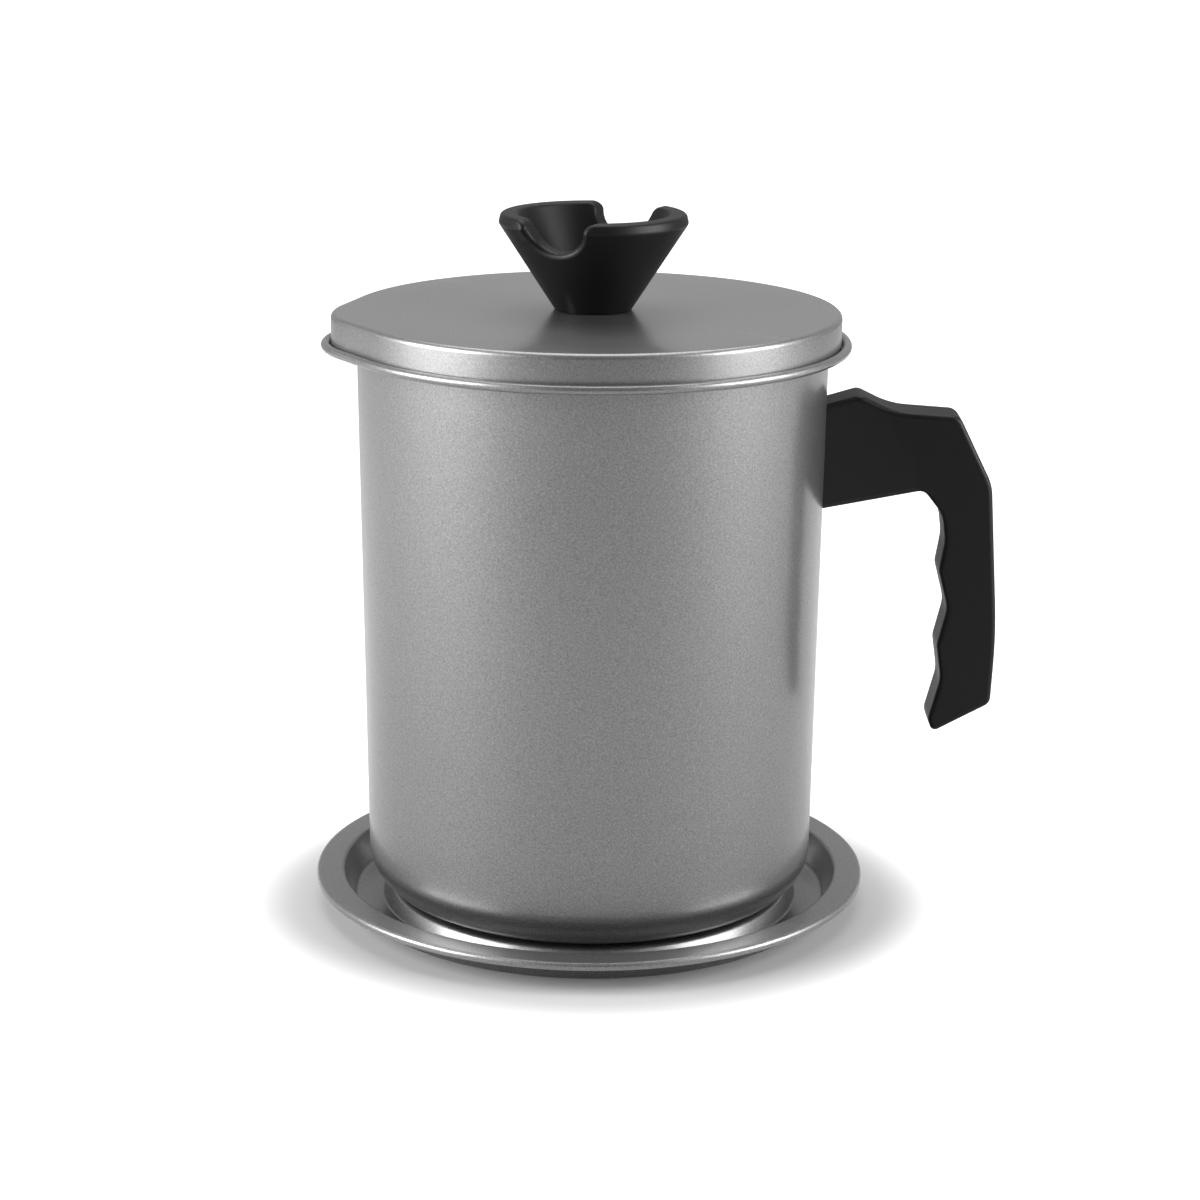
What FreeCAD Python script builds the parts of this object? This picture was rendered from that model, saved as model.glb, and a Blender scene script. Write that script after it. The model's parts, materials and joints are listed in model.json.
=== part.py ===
import FreeCAD, Part
import math
import os

# Bacon grease container: a steel pot with a pouring lip, standing in a drip tray, with a
# lift-out strainer, a lift-off lid with a cup-shaped knob, and a grip screwed on from inside.
# Millimetres, Z up. The origin is on the pot's axis, on the table under the tray.
# The handle points along +X and the pouring lip nearly along -X.

V = FreeCAD.Vector
NEAR = 0.001                   # closeness at which two heights count as the same
SHARP_ANGLE = 8.0              # degrees between two faces from which their edge is a corner
UP = V(0, 0, 1)
OUTWARD = V(1, 0, 0)           # from the pot's axis towards the handle

# Driving sizes of the pot
sheet = 0.6                    # thickness of the pot, lid and tray sheet
pot_mouth_r = 65.0             # outside of the wall just under the ledge
pot_height = 157.85            # from the pot's underside to its curled rim's top
wall_taper = 0.0128            # radius lost for each millimetre down the wall
foot_bend_r = 12.0             # outside rounding from the wall to the bottom
ledge_bend_r = 1.0             # underside rounding from the wall to the ledge
ledge_width = 5.0              # from the wall's outside to the middle of the rim curl
curl_r = 1.25                  # outside radius of the rolled rim
curl_stop = 200.0              # degrees round the curl where the rolled edge ends

# Driving sizes of the pouring lip, shared by the rim and the lid
lip_reach = 3.5                # how far the lip stands out past the round rim
lip_tip_r = 35.0               # rounding of the lip's tip at the curl's middle
lip_flank_r = 1500.0           # the hollow curve from the lip's flank to the round rim
lip_turn = 7.5                 # degrees that the lip lies past the handle's opposite

# Driving sizes of the drip tray
tray_foot_gap = 4.5            # from the pot's foot to the tray's inside corner
tray_wall_run = 3.4            # from that corner outwards to the flat rim
tray_rim_width = 7.5
tray_height = 9.0
tray_hem = 2.0                 # how far the rim's outer edge is turned down
tray_step_inset = 6.0          # from the pot's foot inwards to the raised middle's edge
tray_step_run = 2.0            # width of the slope down from the raised middle
tray_platform_z = 4.5          # top of the raised middle
tray_floor_bend_r = 1.3        # middle radii of the tray's bends
tray_wall_bend_r = 1.6
tray_rim_bend_r = 0.9

# Driving sizes of the handle: an outline in the XZ plane, measured from the pot
handle_thick = 14.0
handle_edge_r = 1.5
handle_drop = 13.7             # from the curl's middle down to the handle's highest point
handle_root_drop = 3.2         # from there down to the top of the end that meets the wall
handle_root_h = 29.2           # height of the end that meets the wall
grip_reach = 50.2              # from the mouth's outside to the grip's inner side, at its top
grip_width = 15.5
grip_length = 96.6             # from the handle's highest point to its lowest
grip_tip_h = 3.6               # height of the hooked tip
finger_start = 49.5            # from the highest point down to the first finger ridge
finger_count = 2
finger_depth = 1.5             # depth of the finger hollows
finger_hollow_r = 9.0
finger_ridge_r = 4.0

# Driving sizes of the handle's screws
screw_r = 2.45
screw_bore_r = 2.5
screw_head_r = 4.5
screw_head_h = 3.0
recess_l = 5.0                 # the cross recess in each head
recess_w = 1.0
recess_h = 1.5
handle_screw_gap = 16.0        # between the two handle screws
handle_screw_len = 16.0
insert_r = 4.0
insert_len = 11.5
insert_depth = 1.5             # how far the insert sits back from the handle's root
bore_spare = 2.0               # bore left past the screw's end
washer_r = 6.5
washer_t = 1.0
seal_t = 1.2
wall_hole_r = 2.7
seat_gap = 0.02                # between the curved wall and what is screwed against it

# Driving sizes of the lid and its knob
lid_height = 9.05              # from the skirt's lower edge to the lid's top
lid_edge_r = 1.5
lid_gap = 0.3                  # between the lid's skirt and the rim curl
knob_base_r = 10.5
knob_rim_r = 26.0
knob_height = 26.6
knob_flare_h = 23.9            # height at which the knob is widest
knob_wall = 5.0
knob_floor = 9.0               # solid height under the cup
knob_edge_r = 1.3
knob_rim_taper = 0.6           # how much narrower the very top is than the widest place
knob_foot_r = 0.8
cup_floor_bend_r = 2.5
notch_r = 9.0
notch_depth = 8.5
notch_lip_r = 3.0
notch_turn = -117.0            # direction of the first notch, from +X
knob_screw_len = 8.0
knob_insert_len = 7.0

# Driving sizes of the strainer
strainer_sheet = 0.5
strainer_flange_gap = 0.45     # between the flange and the rim curl
strainer_wall_gap = 4.5        # from the pot's mouth in to the cup's outside at its flange
strainer_draw_in = 7.5         # how much narrower the cup's floor is than its mouth
strainer_depth = 28.0
strainer_lip = 5.0             # width of the inturned floor lip
strainer_floor_bend_r = 1.5    # middle radii of the cup's bends
strainer_mouth_bend_r = 1.0
mesh_t = 0.3
clamp_t = 0.8
mesh_gap = 0.2                 # between the mesh's edge and the cup's wall


# Sizes worked out from the ones above
pot_base_z = tray_platform_z
rim_top_z = pot_base_z + pot_height
curl_z = rim_top_z - curl_r
ledge_z = curl_z - curl_r                       # underside of the ledge
ledge_top_z = ledge_z + sheet
curl_path_r = pot_mouth_r + ledge_width         # middle of the curl round the pot
flange_r = curl_path_r - curl_r - strainer_flange_gap
flange_top_z = ledge_top_z + strainer_sheet
lid_skirt_r = curl_path_r - curl_r - lid_gap
lid_foot_z = flange_top_z
lid_top_z = lid_foot_z + lid_height
handle_top_z = curl_z - handle_drop
pot_foot_r = pot_mouth_r - wall_taper * (curl_z - pot_base_z)
tray_step_r = pot_foot_r - tray_step_inset
tray_floor_r = pot_foot_r + tray_foot_gap       # inside corner of the floor and the sloped wall
tray_rim_r = tray_floor_r + tray_wall_run       # inner edge of the flat rim
tray_r = tray_rim_r + tray_rim_width
strainer_mouth_r = pot_mouth_r - strainer_wall_gap
strainer_floor_r = strainer_mouth_r - strainer_draw_in
mesh_z = flange_top_z - strainer_depth          # top of the strainer's floor lip
mesh_r = strainer_floor_r - strainer_sheet / 2 - strainer_floor_bend_r - mesh_gap


def wall_r(z):
    """Outside radius of the pot's wall at height z."""
    return pot_mouth_r - wall_taper * (curl_z - z)


def point(p, plane):
    """A point of a flat outline: plane is xz or xy."""
    if plane == "xz":
        return V(p[0], 0, p[1])
    return V(p[0], p[1], 0)


def rounded_wire(corners, radii, plane="xz"):
    """A closed wire of lines, with an arc of the given radius at each corner."""
    count = len(corners)
    ends = []
    for i in range(count):
        here = V(corners[i][0], corners[i][1], 0)
        back = V(corners[i - 1][0], corners[i - 1][1], 0) - here
        ahead = V(corners[(i + 1) % count][0], corners[(i + 1) % count][1], 0) - here
        back.normalize()
        ahead.normalize()
        radius = radii[i]
        if radius == 0:
            ends.append((here, None, here))
            continue
        half = back.getAngle(ahead) / 2
        reach = radius / math.tan(half)
        middle = back + ahead
        middle.normalize()
        centre = here + middle * (radius / math.sin(half))
        ends.append((here + back * reach, centre - middle * radius, here + ahead * reach))
    edges = []
    for i in range(count):
        first, mid, last = ends[i]
        nxt = ends[(i + 1) % count][0]
        if mid is not None:
            edges.append(Part.Arc(point(first, plane), point(mid, plane), point(last, plane)).toShape())
        if (nxt - last).Length > NEAR:
            edges.append(Part.LineSegment(point(last, plane), point(nxt, plane)).toShape())
    return Part.Wire(edges)


def offset_corners(line, shift):
    """The corners of an open line moved sideways, to its left where shift is positive."""
    moved = []
    for i in range(len(line)):
        sides = []
        for a, b in ((i - 1, i), (i, i + 1)):
            if a >= 0 and b < len(line):
                along = V(line[b][0] - line[a][0], line[b][1] - line[a][1], 0)
                along.normalize()
                sides.append(V(-along.y, along.x, 0))
        mitre = sides[0] + sides[-1]
        mitre.normalize()
        step = shift / mitre.dot(sides[0])
        moved.append((line[i][0] + mitre.x * step, line[i][1] + mitre.y * step))
    return moved


def turn_side(line, i):
    """Positive where the line turns left at corner i."""
    ax, ay = line[i][0] - line[i - 1][0], line[i][1] - line[i - 1][1]
    bx, by = line[i + 1][0] - line[i][0], line[i + 1][1] - line[i][1]
    return 1 if ax * by - ay * bx > 0 else -1


def sheet_face(line, bends, thick):
    """The section of a sheet whose middle follows a bent line; bends are middle radii."""
    left = offset_corners(line, thick / 2)
    right = offset_corners(line, -thick / 2)
    left_r, right_r = [0], [0]
    for i in range(1, len(line) - 1):
        side = turn_side(line, i)
        left_r.append(bends[i] - side * thick / 2)
        right_r.append(bends[i] + side * thick / 2)
    left_r.append(0)
    right_r.append(0)
    return Part.Face(rounded_wire(left + right[::-1], left_r + right_r[::-1]))


def turned(face):
    """A face in the XZ plane turned once round the Z axis."""
    return face.revolve(V(0, 0, 0), UP, 360)


def ring(r_in, r_out, z, height):
    """A flat washer shape on the Z axis."""
    outer = Part.makeCylinder(r_out, height, V(0, 0, z))
    return outer.cut(Part.makeCylinder(r_in, height, V(0, 0, z)))


def rod(radius, start, length, axis):
    """A round bar from a start point."""
    return Part.makeCylinder(radius, length, start, axis)


def lip_arcs(radius):
    """The lip-and-rim outline as arcs: centre, radius, first and last angle, side.

    The radius is that of the round part. Every outline of the family is at an even distance
    from the curl's own path, so one outline fits inside another. Side is -1 on the hollow
    flanks, whose centres lie outside.
    """
    shift = radius - curl_path_r
    tip_x = curl_path_r + lip_reach - lip_tip_r
    far = curl_path_r + lip_flank_r
    near = lip_tip_r + lip_flank_r
    at_axis = math.acos((far ** 2 + tip_x ** 2 - near ** 2) / (2 * far * tip_x))
    centre_x, centre_y = far * math.cos(at_axis), far * math.sin(at_axis)
    at_tip = math.atan2(centre_y, centre_x - tip_x)
    a, t = math.degrees(at_axis), math.degrees(at_tip)
    arcs = [
        (V(0, 0, 0), radius, 180 + a, 540 - a, 1),
        (V(-centre_x, centre_y, 0), lip_flank_r - shift, 360 - a, 360 - t, -1),
        (V(-tip_x, 0, 0), lip_tip_r + shift, 180 - t, 180 + t, 1),
        (V(-centre_x, -centre_y, 0), lip_flank_r - shift, t, a, -1),
    ]
    swing = FreeCAD.Rotation(UP, lip_turn)
    return [(swing.multVec(c), r, low + lip_turn, high + lip_turn, side) for c, r, low, high, side in arcs]


def lip_face(radius, z):
    """A flat face with the lip-and-rim outline."""
    edges = []
    for centre, arc_r, first, last, side in lip_arcs(radius):
        spots = []
        for angle in (first, (first + last) / 2, last):
            rad = math.radians(angle)
            spots.append(centre + V(arc_r * math.cos(rad), arc_r * math.sin(rad), z))
        edges.append(Part.Arc(spots[0], spots[1], spots[2]).toShape())
    return Part.Face(Part.Wire(edges))


def lip_plate(radius, z, height):
    return lip_face(radius, z).extrude(V(0, 0, height))


def curl_section(arc_r, side):
    """The rolled rim's section, beside an axis that lies arc_r away."""
    def spot(r, angle):
        rad = math.radians(angle)
        return V(arc_r + side * r * math.cos(rad), 0, curl_z + r * math.sin(rad))

    mid = (curl_stop - 90) / 2
    inner_r = curl_r - sheet
    edges = [
        Part.Arc(spot(curl_r, -90), spot(curl_r, mid), spot(curl_r, curl_stop)).toShape(),
        Part.LineSegment(spot(curl_r, curl_stop), spot(inner_r, curl_stop)).toShape(),
        Part.Arc(spot(inner_r, curl_stop), spot(inner_r, mid), spot(inner_r, -90)).toShape(),
        Part.LineSegment(spot(inner_r, -90), spot(curl_r, -90)).toShape(),
    ]
    return Part.Face(Part.Wire(edges))


def rim_curl():
    """The rolled rim, one turned stretch for each arc of the outline."""
    stretches = []
    for centre, arc_r, first, last, side in lip_arcs(curl_path_r):
        face = curl_section(arc_r, side)
        start, span = min(first, last), abs(last - first)
        piece = face.revolve(V(0, 0, 0), UP, span)
        piece.rotate(V(0, 0, 0), UP, start)
        piece.translate(centre)
        stretches.append(piece)
    return stretches[0].multiFuse(stretches[1:])


def tray():
    half = sheet / 2
    line = [
        (0, tray_platform_z - half),
        (tray_step_r - half, tray_platform_z - half),
        (tray_step_r + tray_step_run, half),
        (tray_floor_r, half),
        (tray_rim_r, tray_height - half),
        (tray_r - half, tray_height - half),
        (tray_r - half, tray_height - tray_hem),
    ]
    step, wall, rim = tray_floor_bend_r, tray_wall_bend_r, tray_rim_bend_r
    return turned(sheet_face(line, [0, step, step, wall, rim, rim, 0], sheet))


def handle_screw_heights():
    middle = handle_top_z - handle_root_drop - handle_root_h / 2
    return [middle - handle_screw_gap / 2, middle + handle_screw_gap / 2]


def pot_shell():
    half = sheet / 2
    foot_r = pot_foot_r - half
    line = [
        (0, pot_base_z + half),
        (foot_r, pot_base_z + half),
        (wall_r(ledge_z) - half, ledge_z + half),
        (pot_mouth_r + ledge_bend_r, ledge_z + half),
    ]
    return turned(sheet_face(line, [0, foot_bend_r - half, ledge_bend_r + half, 0], sheet))


def pot_body():
    ledge = lip_plate(curl_path_r, ledge_z, sheet)
    ledge = ledge.cut(Part.makeCylinder(pot_mouth_r + ledge_bend_r, 3 * sheet, V(0, 0, ledge_z - sheet)))
    body = pot_shell().fuse([ledge, rim_curl()]).removeSplitter()
    for z in handle_screw_heights():
        body = body.cut(rod(wall_hole_r, V(pot_mouth_r / 2, 0, z), pot_mouth_r, OUTWARD))
    return body


def outside_of_pot(extra):
    """The pot's outer cone, grown by extra, as a tool for what seats against the wall."""
    low, high = pot_base_z, rim_top_z
    return Part.makeCone(wall_r(low) + extra, wall_r(high) + extra, high - low, V(0, 0, low))


def handle_outline():
    """Corners and roundings of the grip, from the root round the outside and back."""
    top = handle_top_z
    low = top - grip_length
    mouth = pot_mouth_r
    root_x = mouth - handle_edge_r - insert_depth
    inner = mouth + grip_reach - grip_width - handle_edge_r
    outer = inner + grip_width
    ridge = top - finger_start
    pitch = (ridge - low - grip_tip_h) / finger_count
    hollow = inner + finger_depth
    hollow_bend = min(finger_hollow_r, 0.42 * pitch)
    ridge_bend = min(finger_ridge_r, 0.19 * pitch)
    root_low = top - handle_root_drop - handle_root_h
    return [
        ((root_x, top - handle_root_drop), 0),
        ((mouth + 8.8, top + 0.3), 3),                       # thumb stop
        ((mouth + 18.0, top - 4.2), 24),                     # saddle behind it
        ((outer - 12.3, top - 5.5), 3.5),                    # start of the sloped shoulder
        ((outer - 2.6, top - 25.0), 14),
        ((outer + 0.3, low + 28.6), 160),                    # nearly straight back
        ((outer - 0.6, low + 8.4), 3),
        ((inner - 1.3, low - 0.3), 1.6),                     # pointed tip
        ((inner - 2.6, low + grip_tip_h), 4),
        ((hollow - 1.0, ridge - 1.45 * pitch), hollow_bend),
        ((inner - 0.9, ridge - pitch), ridge_bend),
        ((hollow + 0.2, ridge - pitch / 2), hollow_bend),
        ((inner - 1.1, ridge), ridge_bend),
        ((inner + 0.3, ridge + 8.5), 12),                    # shallow place of the first finger
        ((inner - 0.6, ridge + 16.0), 10),
        ((inner - 6.0, root_low + 5.8), 3),                  # inner corner under the arm
        ((root_x, root_low), 0),
    ]


def handle():
    outline = handle_outline()
    wire = rounded_wire([corner for corner, bend in outline], [bend for corner, bend in outline])
    face = Part.Face(wire)
    face.translate(V(0, -handle_thick / 2, 0))
    grip = face.extrude(V(0, handle_thick, 0))
    rims = []
    for edge in grip.Edges:
        box = edge.BoundBox
        flat = abs(box.YMax - box.YMin) < NEAR
        if flat and box.XMax > pot_mouth_r:
            rims.append(edge)
    grip = grip.makeFillet(handle_edge_r, rims)
    grip = grip.cut(outside_of_pot(seat_gap))
    for z in handle_screw_heights():
        axis_point = V(0, 0, z)
        screw_end = handle_stack_x(z)[1] + handle_screw_len
        grip = grip.cut(rod(insert_r, axis_point, wall_r(z) + insert_depth + insert_len, OUTWARD))
        grip = grip.cut(rod(screw_bore_r, axis_point, screw_end + bore_spare, OUTWARD))
    return grip


def handle_insert():
    sleeves = []
    for z in handle_screw_heights():
        start = V(wall_r(z) + insert_depth, 0, z)
        sleeve = rod(insert_r, start, insert_len, OUTWARD)
        sleeves.append(sleeve.cut(rod(screw_bore_r, start, insert_len, OUTWARD)))
    return Part.makeCompound(sleeves)


def handle_stack_x(z):
    """Inner faces of the seal, the washer and the head's seat, from the wall inwards."""
    wall = math.sqrt((wall_r(z) - sheet) ** 2 - washer_r ** 2)
    return wall - seal_t, wall - seal_t - washer_t


def handle_seal():
    seals = []
    low, high = pot_base_z, rim_top_z
    inset = sheet + seat_gap
    inside = Part.makeCone(wall_r(low) - inset, wall_r(high) - inset, high - low, V(0, 0, low))
    for z in handle_screw_heights():
        start = V(handle_stack_x(z)[0], 0, z)
        disc = rod(washer_r, start, pot_mouth_r, OUTWARD).common(inside)
        seals.append(disc.cut(rod(screw_bore_r, start, pot_mouth_r, OUTWARD)))
    return Part.makeCompound(seals)


def handle_washer():
    washers = []
    for z in handle_screw_heights():
        start = V(handle_stack_x(z)[1], 0, z)
        disc = rod(washer_r, start, washer_t, OUTWARD)
        washers.append(disc.cut(rod(screw_bore_r, start, washer_t, OUTWARD)))
    return Part.makeCompound(washers)


def pan_screw(seat, axis, length):
    """A pan-head screw with a cross recess; seat is the middle of the head's underside."""
    screw = rod(screw_head_r, V(0, 0, -screw_head_h), screw_head_h, UP)
    rims = [edge for edge in screw.Edges if edge.BoundBox.ZMax < -screw_head_h + NEAR]
    screw = screw.makeFillet(screw_head_h / 2, rims)
    for across, along in ((recess_l, recess_w), (recess_w, recess_l)):
        corner = V(-across / 2, -along / 2, -screw_head_h - 1)
        screw = screw.cut(Part.makeBox(across, along, 1 + recess_h, corner))
    screw = screw.fuse(rod(screw_r, V(0, 0, 0), length, UP)).removeSplitter()
    screw.Placement = FreeCAD.Placement(seat, FreeCAD.Rotation(UP, axis))
    return screw


def handle_screw():
    screws = []
    for z in handle_screw_heights():
        screws.append(pan_screw(V(handle_stack_x(z)[1], 0, z), V(1, 0, 0), handle_screw_len))
    return Part.makeCompound(screws)


def soft_plate(radius, z, height, edge_r):
    """A lip-shaped plate whose top edge is rounded."""
    plate = lip_plate(radius, z, height)
    rims = [edge for edge in plate.Edges if edge.BoundBox.ZMin > z + height - NEAR]
    return plate.makeFillet(edge_r, rims)


def lid():
    shell = soft_plate(lid_skirt_r, lid_foot_z, lid_height, lid_edge_r)
    inside = soft_plate(lid_skirt_r - sheet, lid_foot_z - 1, lid_height - sheet + 1, lid_edge_r - sheet)
    shell = shell.cut(inside)
    return shell.cut(rod(wall_hole_r, V(0, 0, lid_top_z - 2 * sheet), 3 * sheet, UP))


def notch_tool():
    """A round-bottomed bar that cuts both notches at once."""
    centre_z = knob_height - notch_depth + notch_r
    reach = 2 * knob_rim_r
    tool = rod(notch_r, V(-reach, 0, centre_z), 2 * reach, OUTWARD)
    walls = Part.makeBox(2 * reach, 2 * notch_r, knob_height, V(-reach, -notch_r, centre_z))
    tool = tool.fuse(walls)
    tool.rotate(V(0, 0, 0), UP, notch_turn)
    return tool


def knob():
    slope = (knob_rim_r - knob_base_r) / knob_flare_h
    cup_rim_r = knob_rim_r - knob_wall
    cup_floor_r = knob_base_r + slope * knob_floor - knob_wall
    corners = [
        (0, 0),
        (knob_base_r, 0),
        (knob_rim_r, knob_flare_h),
        (knob_rim_r - knob_rim_taper, knob_height),
        (cup_rim_r, knob_height),
        (cup_floor_r, knob_floor),
        (0, knob_floor),
    ]
    bends = [0, knob_foot_r, 0, 0, 0, cup_floor_bend_r, 0]
    body = turned(Part.Face(rounded_wire(corners, bends)))
    body = body.cut(notch_tool())
    corners_up = []
    for edge in body.Edges:
        if isinstance(edge.Curve, Part.Line) and edge.BoundBox.ZMin > knob_height - NEAR:
            corners_up.append(edge)
    body = body.makeFillet(notch_lip_r, corners_up)
    rims = []
    lowest_rim = knob_height - notch_depth - knob_edge_r / 2
    for edge in body.Edges:
        if edge.BoundBox.ZMin > lowest_rim and edge_is_sharp(body, edge):
            rims.append(edge)
    body = body.makeFillet(knob_edge_r, rims)
    body = body.cut(rod(insert_r, V(0, 0, -1), knob_insert_len + 1, UP))
    body.translate(V(0, 0, lid_top_z))
    return body


def edge_is_sharp(shape, edge):
    """True where the two faces at an edge meet at an angle."""
    faces = shape.ancestorsOfType(edge, Part.Face)
    if len(faces) < 2:
        return False
    middle = edge.valueAt((edge.FirstParameter + edge.LastParameter) / 2)
    normals = []
    for face in faces[:2]:
        u, v = face.Surface.parameter(middle)
        normals.append(face.normalAt(u, v))
    return normals[0].getAngle(normals[1]) > math.radians(SHARP_ANGLE)


def knob_insert():
    sleeve = rod(insert_r, V(0, 0, lid_top_z), knob_insert_len, UP)
    return sleeve.cut(rod(screw_bore_r, V(0, 0, lid_top_z), knob_insert_len, UP))


def knob_washer():
    return ring(screw_bore_r, washer_r, lid_top_z - sheet - washer_t, washer_t)


def knob_screw():
    return pan_screw(V(0, 0, lid_top_z - sheet - washer_t), UP, knob_screw_len)


def strainer_cup():
    half = strainer_sheet / 2
    flange_z = ledge_top_z + half
    line = [
        (strainer_floor_r - strainer_lip, flange_z - strainer_depth),
        (strainer_floor_r - half, flange_z - strainer_depth),
        (strainer_mouth_r - half, flange_z),
        (flange_r, flange_z),
    ]
    bends = [0, strainer_floor_bend_r, strainer_mouth_bend_r, 0]
    return turned(sheet_face(line, bends, strainer_sheet))


def strainer_mesh():
    return Part.makeCylinder(mesh_r, mesh_t, V(0, 0, mesh_z))


def strainer_clamp_ring():
    return ring(strainer_floor_r - strainer_lip, mesh_r, mesh_z + mesh_t, clamp_t)


PIECES = {
    "tray": tray,
    "pot_body": pot_body,
    "handle": handle,
    "handle_insert": handle_insert,
    "handle_screw": handle_screw,
    "handle_washer": handle_washer,
    "handle_seal": handle_seal,
    "strainer_cup": strainer_cup,
    "strainer_mesh": strainer_mesh,
    "strainer_clamp_ring": strainer_clamp_ring,
    "lid": lid,
    "knob": knob,
    "knob_insert": knob_insert,
    "knob_screw": knob_screw,
    "knob_washer": knob_washer,
}

os.makedirs("parts", exist_ok=True)
for name, make in PIECES.items():
    shape = make()
    shape.exportStep("parts/" + name + ".step")
    print(name, "solids", len(shape.Solids), "valid", shape.isValid(), "volume", round(shape.Volume, 1))
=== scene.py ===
# %% [markdown]
# Bacon grease container
#
# A satin grey steel pot stands in a drip tray. It has a flat lid with a black cup-shaped knob,
# a black grip with finger hollows, and a strainer hidden under the lid. The plastic pieces and
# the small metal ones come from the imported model, and the sheet metal shells are drawn again on
# its sizes. The rest of this lesson is about light and finish: how a coated steel pot is lit,
# and how one shared set of node groups gives each surface its grain, edge wear and patches.

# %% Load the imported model
import json
import math

import bmesh
import bpy
from mathutils import Matrix, Vector


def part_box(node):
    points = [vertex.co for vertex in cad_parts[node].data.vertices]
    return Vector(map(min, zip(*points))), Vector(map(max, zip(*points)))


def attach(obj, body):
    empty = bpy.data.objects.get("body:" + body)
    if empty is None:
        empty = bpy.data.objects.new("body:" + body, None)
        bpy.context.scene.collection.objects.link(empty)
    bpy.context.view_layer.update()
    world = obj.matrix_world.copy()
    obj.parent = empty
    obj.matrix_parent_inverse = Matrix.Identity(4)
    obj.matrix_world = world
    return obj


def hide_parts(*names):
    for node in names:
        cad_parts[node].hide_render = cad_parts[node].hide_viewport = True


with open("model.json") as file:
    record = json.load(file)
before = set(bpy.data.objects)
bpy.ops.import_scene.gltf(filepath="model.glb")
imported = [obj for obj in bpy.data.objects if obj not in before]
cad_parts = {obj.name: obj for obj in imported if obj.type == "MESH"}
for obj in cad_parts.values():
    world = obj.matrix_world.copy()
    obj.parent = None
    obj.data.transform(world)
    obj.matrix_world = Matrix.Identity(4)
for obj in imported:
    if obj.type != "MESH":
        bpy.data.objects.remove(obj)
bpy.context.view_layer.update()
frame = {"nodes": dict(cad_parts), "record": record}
nodes = frame["nodes"]
print("nodes:", sorted(nodes))

# %% [markdown]
# The camera stands where the photographer stood. Its place was worked out from the outlines of
# the round rim, the lid and the tray in the photograph, because a circle seen at an angle gives
# away both the height and the distance of the eye. The lens is long, which keeps the pot's
# sides nearly parallel.

# %% Camera
eye_distance = 0.8028          # from the pot's axis, level
eye_height = 0.3071            # above the table
eye_pitch = math.radians(15.33)
eye_yaw = math.radians(0.18)
eye_roll = math.radians(0.45)
sensor_width = 36.0
lens_length = 88.44

level_part = math.cos(eye_pitch)
ahead = Vector((math.sin(eye_yaw) * level_part, math.cos(eye_yaw) * level_part, -math.sin(eye_pitch)))
level = Vector((math.cos(eye_yaw), -math.sin(eye_yaw), 0.0))
upright = level.cross(ahead)
side = level * math.cos(eye_roll) + upright * math.sin(eye_roll)
top = upright * math.cos(eye_roll) - level * math.sin(eye_roll)

camera_data = bpy.data.cameras.new("camera")
camera_data.lens = lens_length
camera_data.sensor_width = sensor_width
camera_data.sensor_fit = "HORIZONTAL"
camera = bpy.data.objects.new("camera", camera_data)
bpy.context.scene.collection.objects.link(camera)
turn = Matrix((side, top, -ahead)).transposed()
camera.matrix_world = Matrix.Translation((0.0, -eye_distance, eye_height)) @ turn.to_4x4()
bpy.context.scene.camera = camera
bpy.context.scene.view_settings.view_transform = "Standard"
print("camera at", tuple(round(v, 3) for v in camera.location))


# %% [markdown]
# Materials are built from nodes, so a few helpers keep each one short. One adds a node with its
# settings, one joins two sockets, and one makes an empty material with its Principled shader.

# %% Node helpers
def add(tree, kind, **settings):
    """A new node of this kind, with its plain settings."""
    node = tree.nodes.new(kind)
    for name, value in settings.items():
        setattr(node, name, value)
    return node


def join(tree, source, target):
    tree.links.new(source, target)


def new_material(name):
    """A material with only a Principled shader and an output."""
    material = bpy.data.materials.new(name)
    material.use_nodes = True
    tree = material.node_tree
    tree.nodes.clear()
    shader = add(tree, "ShaderNodeBsdfPrincipled")
    output = add(tree, "ShaderNodeOutputMaterial")
    join(tree, shader.outputs["BSDF"], output.inputs["Surface"])
    return material, tree, shader


def grey(value, warmth=0.0):
    """A linear grey, a little warmer or cooler."""
    return (value * (1 + warmth), value, value * (1 - warmth), 1.0)


# %% [markdown]
# A studio shot on white: the floor and the backdrop are white to the camera, and the metal's
# reflections get only a small share of the floor's white, so it doesn't flood the object with
# light. Under it the floor is an ordinary matte grey, which takes the tray's soft shadow. The
# white also fades out close to the tray: a painted shadow, darker towards the tray, on top of
# that real one.

# %% Floor
floor_size = 12.0
floor_grey = 0.50
floor_roughness = 0.9
painted_shadow_darkest = 0.02               # light that only the camera sees, under the tray's rim: the darkest of the painted shadow
open_light = 0.76              # beside the tray, where the painted shadow is lighter
far_light = 1.0                # and far from it, where the lamps no longer reach
rim_radius = 0.078
open_radius = 0.103
far_radius = 1.10
painted_shadow_shape = (0.95, 1.0, 1.0)  # a little wider than deep
painted_shadow_shift = (0.0, 0.004, 0.0)  # and a little to the front
mirror_share = 0.06            # how much of that light reflections get

floor_mesh = bpy.data.meshes.new("floor")
half_floor = floor_size / 2
corners = [
    (-half_floor, -half_floor, 0.0),
    (half_floor, -half_floor, 0.0),
    (half_floor, half_floor, 0.0),
    (-half_floor, half_floor, 0.0),
]
floor_mesh.from_pydata(corners, [], [(0, 1, 2, 3)])
floor = bpy.data.objects.new("floor", floor_mesh)
bpy.context.scene.collection.objects.link(floor)

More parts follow.
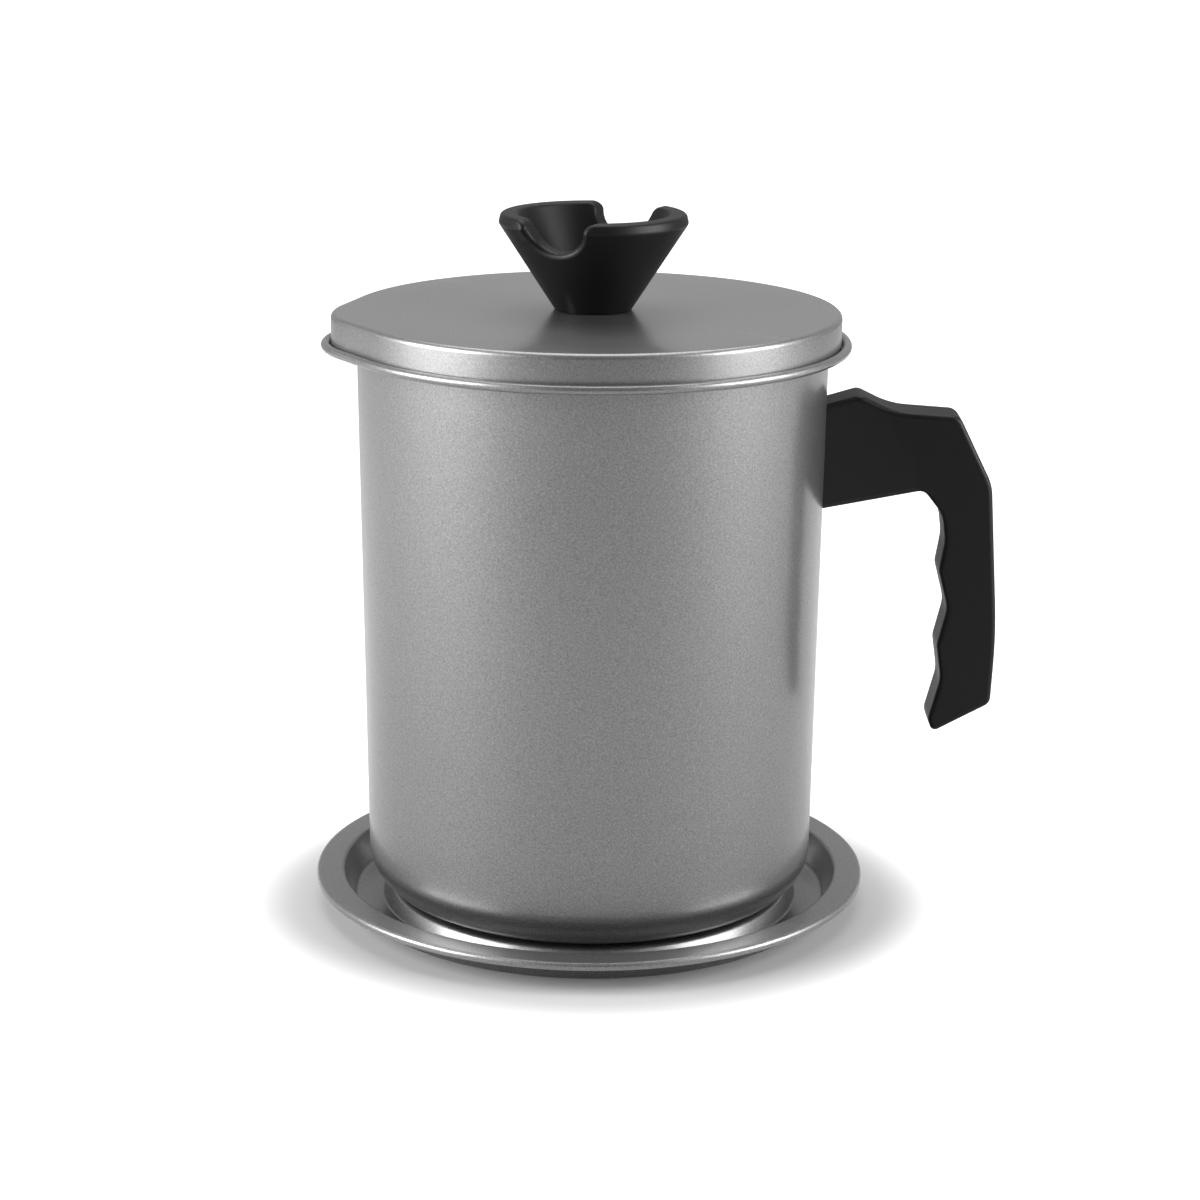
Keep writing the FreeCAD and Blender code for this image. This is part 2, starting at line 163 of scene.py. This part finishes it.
floor_material, tree, shader = new_material("floor_white")
shader.inputs["Base Color"].default_value = grey(floor_grey)
shader.inputs["Roughness"].default_value = floor_roughness
shader.inputs["Specular IOR Level"].default_value = 0.0
place = add(tree, "ShaderNodeTexCoord")
distance = add(tree, "ShaderNodeVectorMath", operation="LENGTH")
shaped = add(tree, "ShaderNodeVectorMath", operation="MULTIPLY_ADD")
shaped.inputs[1].default_value = painted_shadow_shape
shaped.inputs[2].default_value = painted_shadow_shift
join(tree, place.outputs["Object"], shaped.inputs[0])
join(tree, shaped.outputs["Vector"], distance.inputs[0])
# Painted shadow: the camera's white is cut down close to the tray and grows with distance from it.
steps = []
for low_r, high_r, low_light, high_light in (
        (rim_radius, open_radius, painted_shadow_darkest, open_light),
        (open_radius, far_radius, 0.0, far_light - open_light)):
    spread = add(tree, "ShaderNodeMapRange", interpolation_type="SMOOTHSTEP")
    spread.inputs["From Min"].default_value = low_r
    spread.inputs["From Max"].default_value = high_r
    spread.inputs["To Min"].default_value = low_light
    spread.inputs["To Max"].default_value = high_light
    join(tree, distance.outputs["Value"], spread.inputs["Value"])
    steps.append(spread)
floor_white_and_painted_shadow = add(tree, "ShaderNodeMath", operation="ADD")
join(tree, steps[0].outputs[0], floor_white_and_painted_shadow.inputs[0])
join(tree, steps[1].outputs[0], floor_white_and_painted_shadow.inputs[1])
seen = add(tree, "ShaderNodeLightPath")
mirrored = add(tree, "ShaderNodeMath", operation="MULTIPLY_ADD")
mirrored.inputs[1].default_value = mirror_share
join(tree, seen.outputs["Is Glossy Ray"], mirrored.inputs[0])
join(tree, seen.outputs["Is Camera Ray"], mirrored.inputs[2])
lift = add(tree, "ShaderNodeEmission")
join(tree, floor_white_and_painted_shadow.outputs[0], lift.inputs["Strength"])
dark = add(tree, "ShaderNodeEmission")
dark.inputs["Strength"].default_value = 0.0
pick = add(tree, "ShaderNodeMixShader")
both = add(tree, "ShaderNodeAddShader")
join(tree, mirrored.outputs[0], pick.inputs[0])
join(tree, dark.outputs[0], pick.inputs[1])
join(tree, lift.outputs[0], pick.inputs[2])
join(tree, shader.outputs[0], both.inputs[0])
join(tree, pick.outputs[0], both.inputs[1])
output = next(node for node in tree.nodes if node.type == "OUTPUT_MATERIAL")
join(tree, both.outputs[0], output.inputs["Surface"])
floor_mesh.materials.append(floor_material)
print("floor", floor_size, "m wide")

# %% [markdown]
# The world is what satin metal reflects. The photograph shows a dark middle on the pot with a
# bright band on each side, so the room is dim on the photographer's side and pale behind the
# object. A gradient from front to back gives that, and the camera alone sees pure white.

# %% World
room_front = 0.19
room_back = 0.51

world = bpy.data.worlds.new("studio")
bpy.context.scene.world = world
world.use_nodes = True
tree = world.node_tree
tree.nodes.clear()
where = add(tree, "ShaderNodeTexCoord")
split = add(tree, "ShaderNodeSeparateXYZ")
ramp = add(tree, "ShaderNodeMapRange")
ramp.inputs["From Min"].default_value = -0.6
ramp.inputs["From Max"].default_value = 0.8
ramp.inputs["To Min"].default_value = room_front
ramp.inputs["To Max"].default_value = room_back
room = add(tree, "ShaderNodeBackground")
white = add(tree, "ShaderNodeBackground")
white.inputs["Color"].default_value = grey(1.0)
white.inputs["Strength"].default_value = 1.0
seen = add(tree, "ShaderNodeLightPath")
pick = add(tree, "ShaderNodeMixShader")
output = add(tree, "ShaderNodeOutputWorld")
join(tree, where.outputs["Generated"], split.inputs[0])
join(tree, split.outputs["Y"], ramp.inputs["Value"])
join(tree, ramp.outputs[0], room.inputs["Strength"])
join(tree, seen.outputs["Is Camera Ray"], pick.inputs[0])
join(tree, room.outputs[0], pick.inputs[1])
join(tree, white.outputs[0], pick.inputs[2])
join(tree, pick.outputs[0], output.inputs["Surface"])
print("world from", room_front, "to", room_back)

# %% [markdown]
# Two soft boxes stand left and right of the pot and a little to the front, and a wide one hangs
# above and behind. The round wall bends the side boxes into upright bands, a little over half
# way from the pot's middle to its edge, which is where the photograph has them.


# %% Lamps
def soft_box(name, place, aim, width, height, power):
    """An area lamp that faces a point."""
    data = bpy.data.lights.new(name, "AREA")
    data.shape = "RECTANGLE"
    data.size = width
    data.size_y = height
    data.energy = power
    lamp = bpy.data.objects.new(name, data)
    bpy.context.scene.collection.objects.link(lamp)
    lamp.location = place
    lamp.rotation_mode = "QUATERNION"
    lamp.rotation_quaternion = (Vector(aim) - Vector(place)).to_track_quat("-Z", "Y")
    print(name, power, "W")


pot_middle = (0.0, 0.0, 0.10)
soft_box("left_box", (-0.98, -0.33, 0.46), pot_middle, width=0.80, height=0.78, power=21.5)
soft_box("right_box", (0.98, -0.28, 0.46), pot_middle, width=0.70, height=0.78, power=15.8)
soft_box("top_box", (0.0, 0.35, 1.3), pot_middle, width=1.3, height=1.1, power=12.5)

# %% [markdown]
# Three effects are shared. Grain is the fine flake of a sprayed coating, or the peened skin of
# moulded plastic: a noise at one real size that shifts the colour a little and tips the
# surface. Handling adds the broad, faint patches that fingers and drying leave. Edge wear finds
# where the surface turns sharply and lightens it there. Each is a group with named sockets, so
# that every material sets its own sizes and strengths.


# %% Shared groups
def new_group(name, inputs, outputs):
    """An empty node group; inputs are (name, kind, default)."""
    group = bpy.data.node_groups.new(name, "ShaderNodeTree")
    for label, kind, value in inputs:
        socket = group.interface.new_socket(label, in_out="INPUT", socket_type=kind)
        socket.default_value = value
    for label, kind in outputs:
        group.interface.new_socket(label, in_out="OUTPUT", socket_type=kind)
    return group, add(group, "NodeGroupInput"), add(group, "NodeGroupOutput")


def noise(tree, place, scale, detail):
    """A noise whose scale comes from a socket."""
    node = add(tree, "ShaderNodeTexNoise")
    node.inputs["Detail"].default_value = detail
    join(tree, place, node.inputs["Vector"])
    join(tree, scale, node.inputs["Scale"])
    return node.outputs["Fac"]


def maths(tree, kind, first, second):
    """A Math node on two sockets or numbers."""
    node = add(tree, "ShaderNodeMath", operation=kind)
    for slot_number, value in enumerate((first, second)):
        if hasattr(value, "links"):
            join(tree, value, node.inputs[slot_number])
        else:
            node.inputs[slot_number].default_value = value
    return node.outputs[0]


def grain_group():
    """Fine grain: a colour factor round 1, and a height."""
    group, source, target = new_group(
        "grain",
        [("Per Metre", "NodeSocketFloat", 2500.0), ("Contrast", "NodeSocketFloat", 0.1)],
        [("Shade", "NodeSocketFloat"), ("Height", "NodeSocketFloat")],
    )
    place = add(group, "ShaderNodeTexCoord").outputs["Object"]
    coarse = noise(group, place, source.outputs["Per Metre"], 1.0)
    finer = maths(group, "MULTIPLY", source.outputs["Per Metre"], 2.3)
    fine = noise(group, place, finer, 1.0)
    coarse_part = maths(group, "MULTIPLY", coarse, 0.6)
    fine_part = maths(group, "MULTIPLY", fine, 0.4)
    height = maths(group, "ADD", coarse_part, fine_part)
    swing = maths(group, "MULTIPLY", maths(group, "SUBTRACT", height, 0.5), source.outputs["Contrast"])
    join(group, maths(group, "ADD", swing, 1.0), target.inputs["Shade"])
    join(group, height, target.inputs["Height"])
    return group


def handling_group():
    """Broad faint patches, for colour and for roughness."""
    group, source, target = new_group(
        "handling",
        [("Per Metre", "NodeSocketFloat", 25.0), ("Contrast", "NodeSocketFloat", 0.1)],
        [("Shade", "NodeSocketFloat"), ("Roughness Shift", "NodeSocketFloat")],
    )
    place = add(group, "ShaderNodeTexCoord").outputs["Object"]
    patch = noise(group, place, source.outputs["Per Metre"], 4.0)
    swing = maths(group, "MULTIPLY", maths(group, "SUBTRACT", patch, 0.5), source.outputs["Contrast"])
    join(group, maths(group, "ADD", swing, 1.0), target.inputs["Shade"])
    join(group, swing, target.inputs["Roughness Shift"])
    return group


def edge_group():
    """A mask that rises where the surface turns sharply outwards."""
    group, source, target = new_group(
        "edge_wear",
        [("Sharpness", "NodeSocketFloat", 6.0)],
        [("Mask", "NodeSocketFloat")],
    )
    geometry = add(group, "ShaderNodeNewGeometry")
    rise = maths(group, "SUBTRACT", geometry.outputs["Pointiness"], 0.5)
    mask = maths(group, "MULTIPLY", rise, source.outputs["Sharpness"])
    clamp = add(group, "ShaderNodeClamp")
    join(group, mask, clamp.inputs["Value"])
    join(group, clamp.outputs[0], target.inputs["Mask"])
    return group


grain = grain_group()
handling = handling_group()
edge_wear = edge_group()
print("groups:", grain.name, handling.name, edge_wear.name)


def place_group(tree, group, **values):
    """Puts a shared group in a material and sets its inputs."""
    node = add(tree, "ShaderNodeGroup", node_tree=group)
    for name, value in values.items():
        node.inputs[name.replace("_", " ")].default_value = value
    return node


# %% [markdown]
# One function makes every hard finish here, because they differ only in numbers: a base colour,
# how rough and how metallic it is, and how much grain, handling and edge wear it has. Metal
# keeps a full reflection and takes its colour from the base; plastic is dark with a thin sheen.


# %% Finish
patches_per_metre = 22.0
wear_sharpness = 9.0


def finish(name, colour, roughness, metallic, grain_size, grain_contrast, bump, patch, wear_colour, wear):
    """A finished surface. Sizes are in metres, bump in metres of height."""
    material, tree, shader = new_material(name)
    fine = place_group(tree, grain, Per_Metre=1.0 / grain_size, Contrast=grain_contrast)
    broad = place_group(tree, handling, Per_Metre=patches_per_metre, Contrast=patch)
    worn = place_group(tree, edge_wear, Sharpness=wear_sharpness)

    shade = maths(tree, "MULTIPLY", fine.outputs["Shade"], broad.outputs["Shade"])
    tint = add(tree, "ShaderNodeMix", data_type="RGBA", blend_type="MULTIPLY")
    tint.inputs["Factor"].default_value = 1.0
    tint.inputs["A"].default_value = colour
    join(tree, shade, tint.inputs["B"])
    mixed = add(tree, "ShaderNodeMix", data_type="RGBA")
    join(tree, maths(tree, "MULTIPLY", worn.outputs["Mask"], wear), mixed.inputs["Factor"])
    join(tree, tint.outputs["Result"], mixed.inputs["A"])
    mixed.inputs["B"].default_value = wear_colour
    join(tree, mixed.outputs["Result"], shader.inputs["Base Color"])

    rough = maths(tree, "ADD", broad.outputs["Roughness Shift"], roughness)
    join(tree, rough, shader.inputs["Roughness"])
    shader.inputs["Metallic"].default_value = metallic

    tip = add(tree, "ShaderNodeBump")
    tip.inputs["Strength"].default_value = 1.0
    tip.inputs["Distance"].default_value = bump
    join(tree, fine.outputs["Height"], tip.inputs["Height"])
    join(tree, tip.outputs["Normal"], shader.inputs["Normal"])
    return material


coating = finish(
    "coated_steel", grey(0.205), roughness=0.42, metallic=0.90,
    grain_size=0.0005, grain_contrast=1.5, bump=0.00003, patch=0.05,
    wear_colour=grey(0.30), wear=0.25)
black = finish(
    "black_plastic", grey(0.001), roughness=0.44, metallic=0.0,
    grain_size=0.0005, grain_contrast=0.30, bump=0.00002, patch=0.20,
    wear_colour=grey(0.02), wear=0.6)
plated = finish(
    "bright_steel", grey(0.62, 0.01), roughness=0.24, metallic=1.0,
    grain_size=0.0006, grain_contrast=0.10, bump=0.000004, patch=0.08,
    wear_colour=grey(0.75), wear=0.3)
brass = finish(
    "brass", (0.70, 0.48, 0.20, 1.0), roughness=0.28, metallic=1.0,
    grain_size=0.0006, grain_contrast=0.10, bump=0.000004, patch=0.10,
    wear_colour=(0.8, 0.6, 0.3, 1.0), wear=0.3)
silicone = finish(
    "silicone", (0.46, 0.06, 0.035, 1.0), roughness=0.55, metallic=0.0,
    grain_size=0.0008, grain_contrast=0.10, bump=0.00001, patch=0.08,
    wear_colour=(0.55, 0.1, 0.06, 1.0), wear=0.3)
coating_shader = coating.node_tree.nodes["Principled BSDF"]
coating_shader.inputs["Coat Weight"].default_value = 1.0
coating_shader.inputs["Coat Roughness"].default_value = 0.19
black_shader = black.node_tree.nodes["Principled BSDF"]
black_shader.inputs["Specular IOR Level"].default_value = 0.25
print("materials:", [m.name for m in (coating, black, plated, brass, silicone)])

# %% [markdown]
# The tray, the pot and the lid are pressed from one thickness of sheet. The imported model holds
# their true sizes, but its triangles show as a ragged edge in a narrow highlight. So each shell
# is drawn again here on the same sizes: the middle line of the sheet is bent round its corners,
# given its thickness, and carried round the pot as a row of even rings. A highlight then runs
# along the rings, as it does on spun metal.

# %% Sheet sizes
mm = 0.001
sheet = 0.6 * mm
half_sheet = sheet / 2
bend_step = math.radians(9)    # how finely a bend is divided


def bent(line, bends):
    """The line with an arc of the given middle radius at each inner corner."""
    points = [Vector(line[0])]
    for number in range(1, len(line) - 1):
        here = Vector(line[number])
        back = (Vector(line[number - 1]) - here).normalized()
        ahead = (Vector(line[number + 1]) - here).normalized()
        half_angle = back.angle(ahead) / 2
        centre = here + (back + ahead).normalized() * (bends[number] / math.sin(half_angle))
        first = here + back * (bends[number] / math.tan(half_angle)) - centre
        last = here + ahead * (bends[number] / math.tan(half_angle)) - centre
        swing = first.angle_signed(last)
        count = max(2, math.ceil(abs(swing) / bend_step))
        for step in range(count + 1):
            points.append(centre + Matrix.Rotation(-swing * step / count, 2) @ first)
    points.append(Vector(line[-1]))
    return points


def thickened(points, thickness):
    """Both faces of a sheet whose middle follows the points, as one closed loop."""
    left, right = [], []
    for number, here in enumerate(points):
        before = points[max(number - 1, 0)]
        after = points[min(number + 1, len(points) - 1)]
        sides = []
        for start, end in ((before, here), (here, after)):
            if (end - start).length > 1e-9:
                along = (end - start).normalized()
                sides.append(Vector((-along.y, along.x)))
        mitre = (sides[0] + sides[-1]).normalized()
        shift = mitre * (thickness / 2 / mitre.dot(sides[0]))
        left.append(here + shift)
        right.append(here - shift)
    return left + right[::-1]


print("sheet", sheet, "m thick")

# %% [markdown]
# The rim and the lid share a pouring lip. Their outline is four arcs: the round rim, the blunt
# tip, and a nearly straight flank on each side. Every ring is that outline at some even
# distance, so the lid's skirt follows the rim all the way round, lip and all.

# %% Outlines
rim_path_r = 70.0 * mm         # middle of the rolled rim, round the pot
lip_reach = 3.5 * mm
lip_tip_r = 35.0 * mm
lip_turn = math.radians(7.5)   # how far the lip lies past the handle's opposite
lip_flank_r = 1500.0 * mm
round_steps = 220
flank_steps = 16
tip_steps = 22


def lip_path():
    """Places and outward directions along the rim with its lip."""
    tip_x = rim_path_r + lip_reach - lip_tip_r
    far = rim_path_r + lip_flank_r
    near = lip_tip_r + lip_flank_r
    at_axis = math.acos((far ** 2 + tip_x ** 2 - near ** 2) / (2 * far * tip_x))
    centre = Vector((far * math.cos(at_axis), far * math.sin(at_axis)))
    at_tip = math.atan2(centre.y, centre.x - tip_x)
    half, full = math.pi, 2 * math.pi
    arcs = (
        (Vector((0, 0)), rim_path_r, half + at_axis, 3 * half - at_axis, 1, round_steps),
        (Vector((-centre.x, centre.y)), lip_flank_r, full - at_axis, full - at_tip, -1, flank_steps),
        (Vector((-tip_x, 0)), lip_tip_r, half - at_tip, half + at_tip, 1, tip_steps),
        (Vector((-centre.x, -centre.y)), lip_flank_r, at_tip, at_axis, -1, flank_steps),
    )
    swing = Matrix.Rotation(lip_turn, 2)
    spots = []
    for middle, radius, first, last, side, count in arcs:
        for step in range(count):
            angle = first + (last - first) * step / count
            out = Vector((math.cos(angle), math.sin(angle)))
            spots.append((swing @ (middle + out * radius), swing @ (out * side)))
    return spots


def round_path():
    """The same for a plain round piece."""
    spots = []
    for step in range(2 * 128):
        angle = math.pi * step / 128
        out = Vector((math.cos(angle), math.sin(angle)))
        spots.append((out * rim_path_r, out))
    return spots


def shell(name, section, path, lip_from):
    """A closed shell: the section carried round the path. Rings inside lip_from stay round."""
    points, faces, rings = [], [], []
    for spot in section:
        ring = []
        if spot.x < 1e-6:
            ring.append(len(points))
            points.append((0.0, 0.0, spot.y))
        else:
            for place, out in path:
                across = place + out * (spot.x - rim_path_r)
                if spot.x < lip_from:
                    across = place.normalized() * spot.x
                ring.append(len(points))
                points.append((across.x, across.y, spot.y))
        rings.append(ring)
    for number, ring in enumerate(rings):
        following = rings[(number + 1) % len(rings)]
        if len(ring) == 1 and len(following) == 1:
            continue
        for step in range(len(path)):
            ahead = (step + 1) % len(path)
            if len(ring) == 1:
                faces.append((ring[0], following[ahead], following[step]))
            elif len(following) == 1:
                faces.append((ring[step], ring[ahead], following[0]))
            else:
                faces.append((ring[step], ring[ahead], following[ahead], following[step]))
    mesh = bpy.data.meshes.new(name)
    mesh.from_pydata(points, [], faces)
    mesh.validate()
    tidy = bmesh.new()
    tidy.from_mesh(mesh)
    bmesh.ops.recalc_face_normals(tidy, faces=tidy.faces)
    tidy.to_mesh(mesh)
    tidy.free()
    mesh.shade_smooth()
    mesh.set_sharp_from_angle(angle=math.radians(35))
    piece = bpy.data.objects.new(name, mesh)
    bpy.context.scene.collection.objects.link(piece)
    print(name, len(points), "points", len(faces), "faces")
    return piece


# %% [markdown]
# The tray is a spun dish. Its middle is raised to carry the pot clear of the drips, a channel
# runs round that, and the flat rim is turned down at its edge so that it can be picked up.

# %% Tray
tray_low, tray_high = (Vector(corner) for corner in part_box("tray"))
tray_reach = min(tray_high.x, tray_high.y, -tray_low.x, -tray_low.y)
tray_edge = tray_reach - half_sheet
tray_top = tray_high.z - half_sheet
rim_width = 7.5 * mm
wall_run = 3.4 * mm            # how far the tray's wall leans out
step_inset = 10.5 * mm         # from the wall's foot to the raised middle
step_run = 2.0 * mm
rim_inner = tray_reach - rim_width
channel_outer = rim_inner - wall_run
pot_low, pot_high = (Vector(corner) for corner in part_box("pot_body"))
platform = pot_low.z - half_sheet
platform_edge = channel_outer - step_inset
hem_depth = 2.0 * mm
hem = tray_high.z - hem_depth
floor_bend = 1.3 * mm
wall_bend = 1.6 * mm
rim_bend = 0.9 * mm

tray_line = [
    (0.0, platform),
    (platform_edge - half_sheet, platform),
    (platform_edge + step_run, half_sheet),
    (channel_outer, half_sheet),
    (rim_inner, tray_top),
    (tray_edge, tray_top),
    (tray_edge, hem),
]
tray_bends = [0, floor_bend, floor_bend, wall_bend, rim_bend, rim_bend, 0]
all_round = 1.0                # beyond any ring, so that every ring stays round
tray_shell = shell("tray_shell", thickened(bent(tray_line, tray_bends), sheet), round_path(), all_round)

# %% [markdown]
# The pot's wall narrows a little on its way down and turns into the bottom with a wide bend. At
# the top it steps out to a ledge, where the strainer and the lid sit, and ends in a rolled rim,
# which stiffens the thin edge and hides the cut. The two screw holes behind the grip aren't
# drawn, so the screws pass through the drawn wall there, under the seals and the grip.

# %% Pot
rim_r = 1.25 * mm              # outside radius of the rolled rim
roll_r = rim_r - half_sheet    # the same to the middle of the sheet
rim_z = pot_high.z - rim_r
ledge = rim_z - roll_r
mouth_r = 65.0 * mm
taper = 0.0128
foot_bend = 12.0 * mm - half_sheet
ledge_bend = 1.0 * mm + half_sheet
foot_edge = mouth_r - taper * (rim_z - pot_low.z) - half_sheet
wall_top = mouth_r - taper * rim_r - half_sheet
roll_end = math.radians(200)

pot_line = [
    (0.0, pot_low.z + half_sheet),
    (foot_edge, pot_low.z + half_sheet),
    (wall_top, ledge),
    (rim_path_r, ledge),
]
pot_middle_line = bent(pot_line, [0, foot_bend, ledge_bend, 0])
roll_steps = 30
for step in range(1, roll_steps + 1):
    angle = -math.pi / 2 + (roll_end + math.pi / 2) * step / roll_steps
    roll_x = rim_path_r + roll_r * math.cos(angle)
    roll_z = rim_z + roll_r * math.sin(angle)
    pot_middle_line.append(Vector((roll_x, roll_z)))
pot_shell = shell("pot_shell", thickened(pot_middle_line, sheet), lip_path(), mouth_r + ledge_bend)

# %% [markdown]
# The lid is a flat plate with a straight skirt. The bend between them is tight and catches the
# brightest line in the photograph. Its two inner rings only keep the flat plate's faces short.

# %% Lid
lid_low, lid_high = (Vector(corner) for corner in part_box("lid"))
skirt = lid_high.x - half_sheet
lid_top = lid_high.z - half_sheet
lid_hole_r = 2.7 * mm
lid_bend = 1.5 * mm - half_sheet
lid_round_r = 60.0 * mm        # rings inside this stay round
lid_line = [(lid_hole_r, lid_top), (skirt, lid_top), (skirt, lid_low.z)]
lid_middle_line = bent(lid_line, [0, lid_bend, 0])
for inner_r in (55.0 * mm, 30.0 * mm):
    lid_middle_line.insert(1, Vector((inner_r, lid_top)))
lid_shell = shell("lid_shell", thickened(lid_middle_line, sheet), lip_path(), lid_round_r)

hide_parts("tray")
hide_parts("pot_body")
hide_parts("lid")
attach(tray_shell, "tray")
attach(pot_shell, "pot")
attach(lid_shell, "lid")
for piece in (tray_shell, pot_shell, lid_shell):
    piece.data.materials.append(coating)

# %% [markdown]
# The strainer's floor is woven wire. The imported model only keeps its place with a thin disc, so
# here each wire is drawn: a thin round rod that passes over one crossing wire and under the
# next. Wires one way start above, their neighbours start below, and the other way is the same a
# quarter turn round.

# %% Woven wire
mesh_low, mesh_high = (Vector(corner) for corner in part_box("strainer_mesh"))
mesh_r = mesh_high.x
wire_r = 0.075 * mm
wire_pitch = 1.2 * mm
weave_z = (mesh_low.z + mesh_high.z) / 2
weave_rise = (mesh_high.z - mesh_low.z) / 2 - wire_r
wire_corners = 5


def woven_wires(name):
    """Both sets of wires of a round woven mesh, in one mesh."""
    points, faces = [], []
    count = int(mesh_r / wire_pitch)
    for turned in (0, 1):
        for row in range(-count, count + 1):
            offset = row * wire_pitch
            reach = math.sqrt(max(mesh_r ** 2 - offset ** 2, 0.0)) - wire_r
            stops = 2 * int(reach / wire_pitch)
            if stops < 2:
                continue
            first = len(points)
            for stop in range(-stops, stops + 1):
                along = stop * wire_pitch / 2
                over = math.cos(math.pi * along / wire_pitch) * (-1) ** (row + turned)
                for corner in range(wire_corners):
                    angle = 2 * math.pi * corner / wire_corners
                    across = offset + wire_r * math.cos(angle)
                    height = weave_z + weave_rise * over + wire_r * math.sin(angle)
                    if turned:
                        points.append((across, along, height))
                    else:
                        points.append((along, across, height))
            rings = 2 * stops
            for ring in range(rings):
                for corner in range(wire_corners):
                    a = first + ring * wire_corners + corner
                    b = first + ring * wire_corners + (corner + 1) % wire_corners
                    faces.append((a, b, b + wire_corners, a + wire_corners))
            faces.append(tuple(range(first, first + wire_corners)))
            last = first + rings * wire_corners
            faces.append(tuple(range(last, last + wire_corners)))
    mesh = bpy.data.meshes.new(name)
    mesh.from_pydata(points, [], faces)
    tidy = bmesh.new()
    tidy.from_mesh(mesh)
    bmesh.ops.recalc_face_normals(tidy, faces=tidy.faces)
    tidy.to_mesh(mesh)
    tidy.free()
    mesh.shade_smooth()
    mesh.set_sharp_from_angle(angle=math.radians(80))
    piece = bpy.data.objects.new(name, mesh)
    bpy.context.scene.collection.objects.link(piece)
    print(name, len(points), "points")
    return piece


wire_mesh = woven_wires("strainer_wires")
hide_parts("strainer_mesh")
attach(wire_mesh, "strainer")
wire_mesh.data.materials.append(plated)

# %% [markdown]
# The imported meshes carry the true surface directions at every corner, so their shading is left
# as it comes. The record names a material slot for each piece, and each slot has one finish.

# %% Put the finishes on the pieces
finish_of = {
    "coated_steel": coating,
    "black_plastic": black,
    "bright_steel": plated,
    "mesh_steel": plated,
    "seal": silicone,
    "brass": brass,
}
slot_of = {entry["node"]: entry["material_slot"] for entry in frame["record"]["subparts"]}
for name, piece in nodes.items():
    piece.data.materials.clear()
    piece.data.materials.append(finish_of[slot_of[name]])
print("finished", len(nodes), "nodes")
